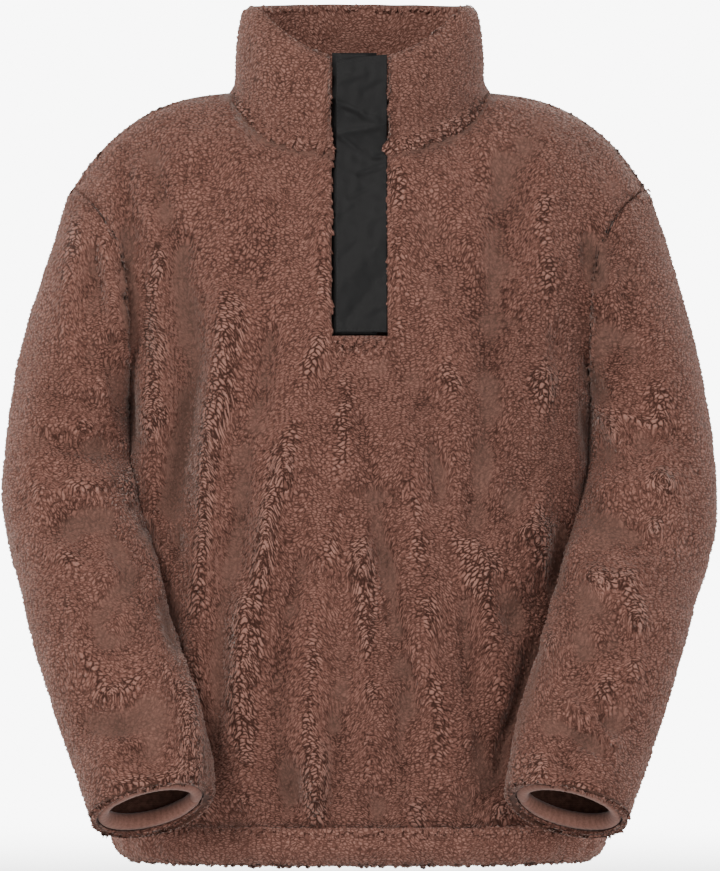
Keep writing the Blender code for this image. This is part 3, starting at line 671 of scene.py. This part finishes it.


# Lines of the picture in pixels, with a half width and a depth: worn ridges minus, shaded troughs plus; each
# dents the cloth a little, and the troughs get painted shade
pictureLines = (
    (222, 290, 218, 350, 10, -3), (215, 360, 205, 400, 10, -3), (205, 410, 200, 500, 9, -4),
    (258, 415, 252, 470, 6, -2), (283, 460, 285, 485, 9, -3), (270, 500, 258, 580, 8, -3),
    (245, 600, 240, 660, 9, -3.5), (240, 660, 235, 720, 9, -2), (182, 400, 165, 510, 9, 7),
    (175, 535, 176, 545, 7, 5), (143, 525, 150, 550, 6, 6), (163, 605, 174, 645, 6, 6),
    (235, 420, 230, 480, 10, 2), (245, 500, 238, 560, 8, 2), (318, 420, 335, 440, 12, 1.5),
    (350, 495, 400, 500, 8, 2), (435, 450, 445, 500, 8, 5), (375, 530, 392, 580, 6, 4),
    (395, 600, 402, 640, 6, 2.5), (405, 660, 412, 690, 7, 4), (360, 555, 362, 578, 12, -4),
    (363, 630, 367, 642, 10, -3), (310, 570, 345, 590, 7, 2), (475, 540, 492, 570, 7, -4),
    (510, 532, 552, 530, 9, -4), (546, 540, 548, 580, 7, -3), (565, 530, 557, 590, 6, 6),
    (540, 640, 515, 720, 7, 6), (512, 720, 495, 790, 8, 7), (520, 600, 515, 620, 8, 2.5),
    (517, 635, 519, 648, 7, -3), (548, 636, 550, 648, 8, -4), (295, 770, 293, 800, 7, 4),
    (320, 750, 318, 810, 10, -3), (408, 700, 414, 712, 9, 4), (362, 712, 370, 720, 8, 2),
    (372, 690, 388, 692, 10, -2), (475, 700, 470, 740, 8, -3), (236, 800, 252, 806, 8, -3),
    (458, 778, 470, 784, 9, -3), (503, 808, 508, 812, 6, -4), (160, 410, 170, 425, 9, -4),
    (147, 408, 148, 432, 8, -3), (162, 245, 162, 270, 8, -4), (185, 238, 183, 258, 7, 3),
    (186, 166, 188, 176, 7, 2), (508, 320, 520, 325, 12, 2), (555, 330, 558, 355, 6, 3),
    (540, 370, 550, 390, 9, -2.5), (498, 476, 502, 486, 12, -2), (440, 372, 450, 350, 12, -2),
    (476, 448, 486, 454, 12, 1.5), (322, 150, 322, 330, 14, -1.2), (397, 150, 398, 330, 14, -1.2),
    (335, 347, 385, 349, 5, -3), (103, 240, 108, 330, 10, -3), (98, 380, 125, 460, 9, -4),
    (125, 470, 130, 500, 9, -4), (140, 540, 150, 590, 6, -3), (155, 620, 175, 690, 7, -3),
    (178, 690, 200, 780, 9, -4), (123, 230, 128, 340, 6, 7), (128, 370, 133, 440, 6, 8),
    (85, 450, 95, 445, 9, 2.5), (60, 520, 90, 560, 8, 2.5), (115, 545, 130, 580, 6, 2),
    (128, 626, 132, 636, 6, 2), (103, 630, 107, 640, 6, 2), (118, 505, 122, 516, 8, -3),
    (115, 725, 150, 715, 7, 3), (125, 755, 148, 752, 10, 4), (120, 780, 190, 770, 8, -3),
    (590, 240, 600, 280, 7, 6), (590, 370, 605, 395, 8, 7), (585, 410, 588, 450, 6, 7),
    (581, 482, 583, 490, 6, 3), (620, 250, 612, 310, 9, -2.5), (595, 405, 612, 425, 6, -5),
    (615, 425, 625, 450, 8, -5), (662, 476, 668, 484, 9, -5), (655, 525, 650, 535, 8, -4),
    (590, 575, 600, 580, 9, -4), (633, 616, 637, 624, 9, -3), (640, 560, 620, 565, 8, 2),
    (570, 700, 612, 740, 7, -4), (560, 722, 600, 747, 6, 4), (553, 738, 557, 744, 7, -2),
    (540, 760, 520, 800, 10, -4), (560, 775, 600, 785, 9, -3), (120, 150, 124, 225, 9, 2.5),
    (603, 402, 648, 424, 6, -3),
)
# Longer bands of the picture: brushed troughs first, which get painted shade, then coarse ridges between them
pictureBands = (
    (((150, 150), (166, 230), (186, 300), (192, 360), (182, 440), (178, 505)), 11, 3.4),
    (((272, 335), (260, 400), (248, 460), (232, 540), (222, 620), (214, 720), (208, 785)), 9, 3.4),
    (((302, 560), (283, 640), (276, 700), (284, 790)), 8, 3.0), (((336, 715), (333, 800)), 8, 3.0),
    (((360, 420), (376, 500), (386, 560), (395, 640), (401, 720), (402, 790)), 9, 2.4),
    (((504, 160), (500, 240), (492, 330), (490, 420), (483, 480), (474, 525)), 14, 3.4),
    (((482, 545), (502, 590), (522, 650)), 8, 2.8),
    (((465, 600), (468, 680), (478, 740), (486, 792)), 7, 3.2),
    (((528, 140), (522, 205)), 14, 2.4), (((90, 250), (100, 300), (109, 342)), 6, 3.0),
    (((106, 365), (118, 432)), 8, 3.0), (((55, 498), (100, 522), (140, 600), (168, 645)), 14, 2.0),
    (((90, 722), (150, 702)), 10, 2.6), (((604, 240), (606, 330), (606, 400), (626, 452)), 20, 2.8),
    (((600, 500), (604, 545)), 22, 2.2), (((580, 600), (580, 700)), 14, 2.4),
    (((570, 715), (612, 722)), 9, 2.0),
    (((238, 300), (230, 360), (213, 440), (204, 520), (194, 600), (190, 720), (190, 790)), 12, -3.4),
    (((318, 345), (290, 430), (270, 510), (255, 610), (247, 700), (243, 795)), 13, -3.2),
    (((345, 380), (340, 470), (330, 560), (318, 640), (308, 720), (310, 795)), 14, -2.6),
    (((395, 390), (412, 480), (420, 560), (430, 650), (440, 720), (445, 790)), 14, -2.4),
    (((455, 380), (452, 460), (455, 530), (485, 600), (500, 680), (508, 760)), 13, -2.6),
    (((546, 200), (548, 300), (545, 400), (542, 480), (535, 560)), 14, -2.4),
    (((150, 215), (152, 280), (155, 360), (150, 430)), 11, -2.6),
    (((365, 600), (370, 680), (368, 780)), 11, -2.2),
    (((70, 220), (66, 300), (72, 380), (84, 430)), 12, -2.4), (((70, 600), (90, 660), (110, 690)), 12, -2.0),
    (((650, 300), (660, 380), (664, 450)), 12, -2.2), (((620, 560), (640, 620), (630, 680)), 12, -2.2),
)
pictureScale = {"x": 359.5, "y": 435.2, "mm": 0.81, "level": -283.5}  # at the depth of the cloth's front


def onCloth(x, y, side=1):
    mm = pictureScale["mm"]
    return (x - pictureScale["x"]) * mm * side, pictureScale["level"] - (y - pictureScale["y"]) * mm


def lineOnCloth(line, side=1):
    x0, y0, x1, y1, width, depth = line
    return (*onCloth(x0, y0, side), *onCloth(x1, y1, side), width * pictureScale["mm"], depth)


def bandOnCloth(band, side=1):
    line, width, depth = band
    return tuple(onCloth(x, y, side) for x, y in line), width * pictureScale["mm"], depth


# Painted shade lines for the front and the back, which also dent the cloth a little
shadeLines = {
    "frontNap": [lineOnCloth(line) for line in pictureLines],
    "backNap": [lineOnCloth(line, -1) for line in pictureLines[:52]]
    + [lineOnCloth(line) for line in pictureLines[55:]],
    "frontBands": [bandOnCloth(band) for band in pictureBands],
    "backBands": [bandOnCloth(band, -1) for band in pictureBands],
}


# Where an arm lies against the body, the pile of both fills the space between them
def bodySnug(points, out):
    return 1 - 3.3 * ease((np.abs(points[:, 0]) - 0.160) / 0.02) * ease((-0.20 - points[:, 2]) / 0.04)


def armSnug(points, out):
    inner = -out[:, 0] * np.sign(points[:, 0])
    atCuff = 1 - ease(gapTo(points, cuffNodes, 0.02) / 0.010)
    return 1 - 3.3 * ease((inner - 0.1) / 0.4) * (1 - atCuff) + 0.45 * atCuff


# Painted shadow: the body's pile is darkened just below the collar's edge, as if the collar threw a soft
# shade on it
def collarShadow(points):
    far = np.array([trees["collar"].find_nearest(Vector(point))[3] for point in points])
    return 8.0 * np.exp(-(far / 0.0075) ** 2)


front = {
    **fleece, **shadeLines, "seed": 21, "beside": sleeveNodes, "seams": collarShadow,
    "calm": bodyCalm, "steady": besidePlacket, "snug": bodySnug,
    "frontFolds": (
        (-96, -430, -103, -520, 14, -2.6), (2, -372, 4, -424, 10, -2.6), (100, -372, 113, -398, 12, -2.6),
        (-30, -545, -34, -596, 11, -3.0), (-58, -552, -56, -588, 9, 2.6), (-31, -60, -31, -200, 9, -1.5),
        (31, -60, 31, -200, 9, -1.5), (-150, -150, -140, -250, 16, 2.2), (60, -120, 96, -190, 16, 1.8),
        (-70, -110, -100, -170, 15, 1.8), (20, -230, 60, -262, 13, 2.0), (-24, -232, -58, -270, 13, 2.0),
        (150, -300, 120, -350, 12, 2.8), (86, -560, 90, -598, 9, 2.8), (112, -566, 110, -598, 8, -2.2),
        (-95, -570, -99, -598, 9, 2.6), (-122, -560, -128, -598, 10, -2.4), (12, -575, 14, -598, 8, 2.4),
        (48, -570, 50, -598, 8, -2.0), (-150, -470, -158, -560, 13, 2.6), (150, -470, 146, -560, 12, 2.8),
        (-160, -420, -120, -450, 11, 1.8), (160, -400, 128, -432, 11, 2.2), (-12, -450, -20, -520, 12, 1.8),
    ),
    "backFolds": (),
}
back = {
    **fleece, **shadeLines, "seed": 22, "joins": ("front",), "beside": sleeveNodes, "seams": collarShadow,
    "calm": bodyCalm, "snug": bodySnug, "frontFolds": (),
    "backFolds": (
        (-60, -90, -96, -170, 16, 2.0), (60, -95, 92, -180, 16, 2.0), (-20, -150, -10, -240, 18, -1.6),
        (-150, -150, -142, -240, 15, 2.2), (148, -150, 140, -250, 15, 2.2), (-90, -380, -110, -480, 14, -2.4),
        (96, -400, 112, -500, 14, -2.4), (-150, -420, -156, -540, 13, 2.6), (152, -420, 150, -550, 13, 2.6),
        (-60, -560, -58, -598, 9, 2.6), (-30, -565, -32, -598, 9, -2.4), (30, -560, 34, -598, 9, 2.6),
        (70, -565, 68, -598, 9, -2.4), (100, -560, 104, -598, 9, 2.6), (-100, -560, -104, -598, 9, -2.2),
        (-20, -300, 20, -320, 13, 1.8), (-70, -330, -30, -350, 12, 1.6), (40, -360, 80, -385, 12, 1.8),
    ),
}


# Calm at the armhole and the cuff
def armCalm(points):
    low = ease((points[:, 2] + 0.575) / 0.03)
    inner = ease((np.abs(points[:, 0]) - 0.196) / 0.02)
    return low * np.maximum(inner, ease((-0.29 - points[:, 2]) / 0.03))


def shortAtCuff(root):
    return 0.40 + 0.60 * ease((gapTo(root, cuffNodes, 0.02) - 0.003) / 0.014)


# No pile hangs over the cuff's band
def armKeep(centre, facing, normal):
    return outside(centre, facing, normal) * (gapTo(centre, cuffNodes, 0.02) > 0.0035)


sleeveFoldsRight = (
    (-215, -150, -228, -200, 12, 2.2), (-205, -210, -245, -235, 11, 2.4), (-200, -262, -252, -250, 10, 2.8),
    (-196, -300, -262, -286, 9, 3.2), (-200, -322, -258, -330, 9, -2.8), (-192, -345, -250, -362, 9, 3.0),
    (-205, -392, -262, -372, 10, -2.4), (-178, -395, -215, -430, 9, 2.8), (-188, -452, -240, -440, 10, 2.4),
    (-165, -470, -205, -495, 10, -2.2), (-176, -520, -212, -515, 9, 3.0), (-172, -545, -205, -548, 8, -2.4),
    (-150, -500, -170, -550, 9, 2.2),
)
sleeveFoldsLeft = (
    (212, -140, 232, -190, 12, 2.2), (204, -205, 240, -226, 11, 2.4), (198, -258, 222, -296, 11, -3.0),
    (196, -300, 258, -284, 9, 3.2), (202, -328, 256, -318, 9, -2.8), (188, -352, 240, -372, 9, 3.2),
    (200, -398, 255, -382, 10, -2.4), (176, -400, 206, -440, 9, 2.8), (184, -458, 236, -446, 10, 2.4),
    (168, -512, 198, -486, 9, -3.0), (176, -530, 208, -512, 8, 3.0), (150, -505, 166, -548, 9, 2.2),
)
sleeveFoldsBehind = (
    (205, -150, 232, -180, 12, 2.2), (202, -230, 250, -215, 11, 2.2), (198, -285, 262, -300, 10, 3.0),
    (200, -320, 264, -340, 9, -2.6), (192, -360, 250, -380, 9, 2.8), (180, -420, 235, -430, 10, 2.4),
    (165, -470, 215, -480, 10, -2.2), (150, -520, 200, -530, 9, 2.6),
)
sleeve = {
    **fleece, **shadeLines, "joins": ("front", "back"), "beside": ("front", "back"), "keep": armKeep,
    "longer": shortAtCuff, "calm": armCalm, "snug": armSnug,
}
sleeves = {
    "right": {**sleeve, "seed": 23, "frontFolds": sleeveFoldsRight,
              "backFolds": tuple((-x0, z0 - 6, -x1, z1 + 4, width, depth)
                                 for x0, z0, x1, z1, width, depth in sleeveFoldsBehind)},
    "left": {**sleeve, "seed": 24, "frontFolds": sleeveFoldsLeft, "backFolds": sleeveFoldsBehind},
}


def wholeCollar(centre, facing, normal):
    under = (normal[:, 2] < -0.75) & (centre[:, 2] < 0.0)
    return 1.0 - under


# How near a point of the collar is to its seam
def nearSeam(points, reach):
    ring = np.arctan2(points[:, 0], -points[:, 1])
    seam = np.where(np.cos(ring) > 0, -0.051 * np.abs(np.cos(ring)), 0.006 * np.abs(np.cos(ring)))
    return ease((reach - (points[:, 2] - seam)) / reach)


# The collar's pile is longer and fuller at its lower edge, where it hangs over the seam
def collarLonger(root):
    return 1.0 + 0.9 * nearSeam(root, 0.014)


def collarSnug(points, out):
    return 1.0 - 2.6 * nearSeam(points, 0.010)


def collarEdge(points):
    return -3.0 * nearSeam(points, 0.018)


collar = {
    **fleece, "seed": 25, "allSides": True, "lumps": 0.0007, "most": 11000, "keep": wholeCollar,
    # innerPaintedLight lightens the collar's shaded inside
    "longer": collarLonger, "seams": collarEdge, "snug": collarSnug, "innerPaintedLight": 0.62,
    "frontFolds": (), "backFolds": (),
}


def outerBand(centre, facing, normal):
    return (facing > -0.35).astype(float)


hem = {
    # paintedLight lightens the hem band, which faces down out of the light
    **fleece, "seed": 26, "levels": 1, "paintedLight": 0.35, "lumps": 0.0006, "most": 7000, "keep": outerBand,
    "shorten": (-0.603, 0.80),  # below this level, to this share of its height
    "joins": ("front", "back"), "frontFolds": (), "backFolds": (),
}

cloths = {}
for label, node, outward, settings, tones, slot in (
    ("front", "front", bodyOutward, front, "body", "fleece"),
    ("back", "back", bodyOutward, back, "body", "fleece"),
    ("sleeveLeft", "sleeve_left", armOutward, sleeves["left"], "body", "fleece"),
    ("sleeveRight", "sleeve_right", armOutward, sleeves["right"], "body", "fleece"),
    ("collar", "collar", bodyOutward, collar, "collar", "collar_fleece"),
    ("hemBand", "hem_band", bodyOutward, hem, "body", "fleece"),
):
    cloths[label] = makeCloth(label + "Cloth", node, outward, settings, finishes[tones + "Pile"])
    growPile(label + "Pile", cloths[label], outward, settings, finishes[tones + "Pile"],
                            node)

# Flat cuts: width, length and area in metres and square metres
cuts = {
    "front": (0.560, 0.620, 0.300),
    "back": (0.560, 0.640, 0.320),
    "sleeveLeft": (0.400, 0.560, 0.190),
    "sleeveRight": (0.400, 0.560, 0.190),
    "collar": (0.560, 0.100, 0.050),
    "hemBand": (1.080, 0.050, 0.054),
}
for label, (width, length, area) in cuts.items():
    "gathered" if label == "hemBand" else "hung"
print("fleece done")


# The placket: two black woven strips with crinkles, and the flap's edge stitching
placket = {
    "crinkles": (
        (-19, -12, 14, -27, 3.4, -1.0), (-14, -17, -2, -22, 2.6, 0.9), (-17, -37, 20, -31, 2.8, -0.9),
        (-16, -39, 0, -52, 2.8, -0.7), (0, -71, 20, -63, 2.2, 0.7), (-8, -90, 10, -80, 2.2, 0.6),
        (12, -57, 20, -55, 1.8, 0.6), (-15, -160, 12, -132, 6, -0.8), (-9, -188, 15, -157, 5, 0.7),
        (-16, -108, -4, -98, 3, 0.5), (6, -112, 18, -104, 3, -0.5), (-15, -140, -2, -128, 3.5, 0.5),
        (2, -186, 18, -178, 3, -0.5), (-14, 6, 4, 12, 3, -0.6), (4, -4, 18, 4, 3, 0.6),
    ),
    "edgeIn": 0.0012, "stitch": 0.0021, "gap": 0.0009, "thread": 0.00026,
}


def makeStrip(name, node, levels):
    mesh = softCopy(name, node, levels)
    points, normals = meshArrays(mesh)
    crease = foldDepth(placket["crinkles"], points) * (1.7 if node == "placket_flap" else 0.4)
    points[:, 1] += crease + 0.00025 * wander(points, 0.013, 31)
    mesh.vertices.foreach_set("co", points.astype(np.float32).ravel())
    mesh.update()
    mesh.materials.append(finishes["woven"])
    mesh.shade_smooth()
    return addPiece(name, mesh, node)


flap = makeStrip("placketFlap", "placket_flap", 3)
underStrip = makeStrip("placketUnder", "placket_under", 2)


# A row of short thread stitches that follows the cloth's front face
def sewLine(name, cloth, node, lines, finish):
    source = bmesh.new()
    source.from_mesh(cloth.data)
    tree = BVHTree.FromBMesh(source)
    source.free()
    bm = bmesh.new()
    for start, end in lines:
        line = Vector(end) - Vector(start)
        count = int(line.length / (placket["stitch"] + placket["gap"]))
        for index in range(count):
            place = Vector(start) + line * ((index + 0.5) / count)
            hit = tree.ray_cast(Vector((place.x, -0.4, place.y)), Vector((0, 1, 0)))[0]
            if hit is None:
                continue
            made = bmesh.ops.create_icosphere(bm, subdivisions=1, radius=placket["thread"])["verts"]
            stretch = placket["stitch"] / 2 / placket["thread"]
            bmesh.ops.scale(bm, vec=(1, 0.7, stretch), verts=made)
            angle = math.atan2(line.x, line.y)
            turned = Vector((math.sin(angle), 0, math.cos(angle)))
            for vert in made:
                offset = vert.co.copy()
                vert.co = hit + turned * offset.z + Vector((turned.z, 0, -turned.x)) * offset.x
                vert.co.y += offset.y - placket["thread"] * 0.2
    mesh = bpy.data.meshes.new(name)
    bm.to_mesh(mesh)
    bm.free()
    mesh.materials.append(finish)
    mesh.shade_smooth()
    return addPiece(name, mesh, node, replacing=False)


flapLow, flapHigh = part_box("placket_flap")
edge = flapLow.x + placket["edgeIn"]
stitching = sewLine(
    "flapStitching", flap, "placket_flap",
    (
        ((edge, flapLow.z + 0.002), (edge, flapHigh.z - 0.0075)),
        ((edge, flapHigh.z - 0.0075), (flapHigh.x - 0.002, flapHigh.z - 0.0016)),
        ((edge, flapLow.z + 0.0022), (flapHigh.x - 0.002, flapLow.z + 0.0022)),
    ),
    finishes["thread"],
)
print("placket done")

# Cuff bindings: a rounded elastic band with a seam on its inner side
binding = {"levels": 2, "ripple": 0.00012, "ripples": 46, "swell": 0.0014}


def makeBinding(name, node, side):
    mesh = softCopy(name, node, binding["levels"])
    points, normals = meshArrays(mesh)
    middle = points.mean(axis=0)
    away = points - middle
    angle = np.arctan2(away[:, 1] - 0.6 * away[:, 2], away[:, 0] * side)
    ripple = np.sin(angle * binding["ripples"] + np.sin(angle * 7)) * binding["ripple"]
    seam = np.exp(-((angle - math.pi * 0.93) / 0.05) ** 2) * 0.0011
    points += normals * (ripple - seam + binding["swell"])[:, None]
    mesh.vertices.foreach_set("co", points.astype(np.float32).ravel())
    layer = mesh.attributes.new("around", "FLOAT", "POINT")
    layer.data.foreach_set("value", (angle * 0.045).astype(np.float32))
    mesh.update()
    mesh.materials.append(finishes["binding"])
    mesh.shade_smooth()
    piece = addPiece(name, mesh, node)
    return piece


bindings = [makeBinding("cuffBindingLeft", "cuff_binding_left", 1),
            makeBinding("cuffBindingRight", "cuff_binding_right", -1)]
print("bindings done")

# The picture: camera on the centre plane, soft light, pale floor that fades out
picture = {
    "camera": (0.0004, -6.0, -0.2835), "frameWidth": 0.5947,
    "floor": -0.72, "floorRadius": 2.6, "world": (0.93, 0.93, 0.93), "worldStrength": 0.50,
    "backdropStrength": 9.0,
    "lights": (
        ("key light", (-1.6, -2.6, 2.2), 1.2, 78.0, (1.0, 0.985, 0.965)),
        ("fill light", (1.6, -3.2, -0.7), 2.0, 34.0, (0.97, 0.985, 1.0)),
        ("back light", (0.2, 2.6, 1.8), 1.8, 40.0, (1.0, 1.0, 1.0)),
        ("left edge light", (-2.6, 1.3, 0.2), 1.6, 46.0, (1.0, 1.0, 1.0)),
        ("right edge light", (2.6, 1.3, 0.2), 1.6, 40.0, (1.0, 1.0, 1.0)),
    ),
    "aim": (0.0, 0.0, -0.25),
}


def addCamera():
    camera = bpy.data.objects.new("camera", bpy.data.cameras.new("camera"))
    bpy.context.scene.collection.objects.link(camera)
    camera.location = picture["camera"]
    camera.rotation_euler = (math.pi / 2, 0, 0)
    camera.data.sensor_fit = "HORIZONTAL"
    camera.data.sensor_width = 36.0
    camera.data.lens = 36.0 * abs(picture["camera"][1]) / picture["frameWidth"]
    camera.data.clip_start = 0.1
    camera.data.clip_end = 60.0
    bpy.context.scene.camera = camera


def addLights():
    for name, place, size, power, colour in picture["lights"]:
        data = bpy.data.lights.new(name, "AREA")
        data.shape = "DISK"
        data.size = size
        data.energy = power
        data.color = colour
        light = bpy.data.objects.new(name, data)
        light.location = place
        aim = Vector(picture["aim"]) - Vector(place)
        light.rotation_euler = aim.to_track_quat("-Z", "Y").to_euler()
        bpy.context.scene.collection.objects.link(light)


def addStage():
    world = bpy.data.worlds.new("studio")
    world.use_nodes = True
    background = world.node_tree.nodes["Background"]
    background.inputs["Color"].default_value = (*picture["world"], 1.0)
    seen = world.node_tree.nodes.new("ShaderNodeLightPath")
    strength = world.node_tree.nodes.new("ShaderNodeMapRange")
    strength.inputs["To Min"].default_value = picture["worldStrength"]
    strength.inputs["To Max"].default_value = picture["backdropStrength"]
    world.node_tree.links.new(seen.outputs["Is Camera Ray"], strength.inputs["Value"])
    world.node_tree.links.new(strength.outputs["Result"], background.inputs["Strength"])
    bpy.context.scene.world = world
    bm = bmesh.new()
    bmesh.ops.create_circle(bm, cap_ends=True, segments=96, radius=picture["floorRadius"])
    bmesh.ops.translate(bm, vec=(0, 0, picture["floor"]), verts=bm.verts)
    mesh = bpy.data.meshes.new("floor")
    bm.to_mesh(mesh)
    bm.free()
    finish = Finish("pale floor", Roughness=0.9, Specular_IOR_Level=0.2)
    far = finish.node("ShaderNodeVectorMath", {"operation": "LENGTH"}, {0: finish.place()}, output="Value")
    fade = finish.node("ShaderNodeMapRange", {"interpolation_type": "SMOOTHSTEP"},
                       {"Value": far, "From Min": 0.8, "From Max": 2.4, "To Min": 1.0, "To Max": 0.0})
    finish.use(Base_Color=(0.80, 0.80, 0.80, 1.0), Alpha=fade)
    mesh.materials.append(finish.material)
    floor = bpy.data.objects.new("floor", mesh)
    bpy.context.scene.collection.objects.link(floor)


addCamera()
addLights()
addStage()
print("picture ready")
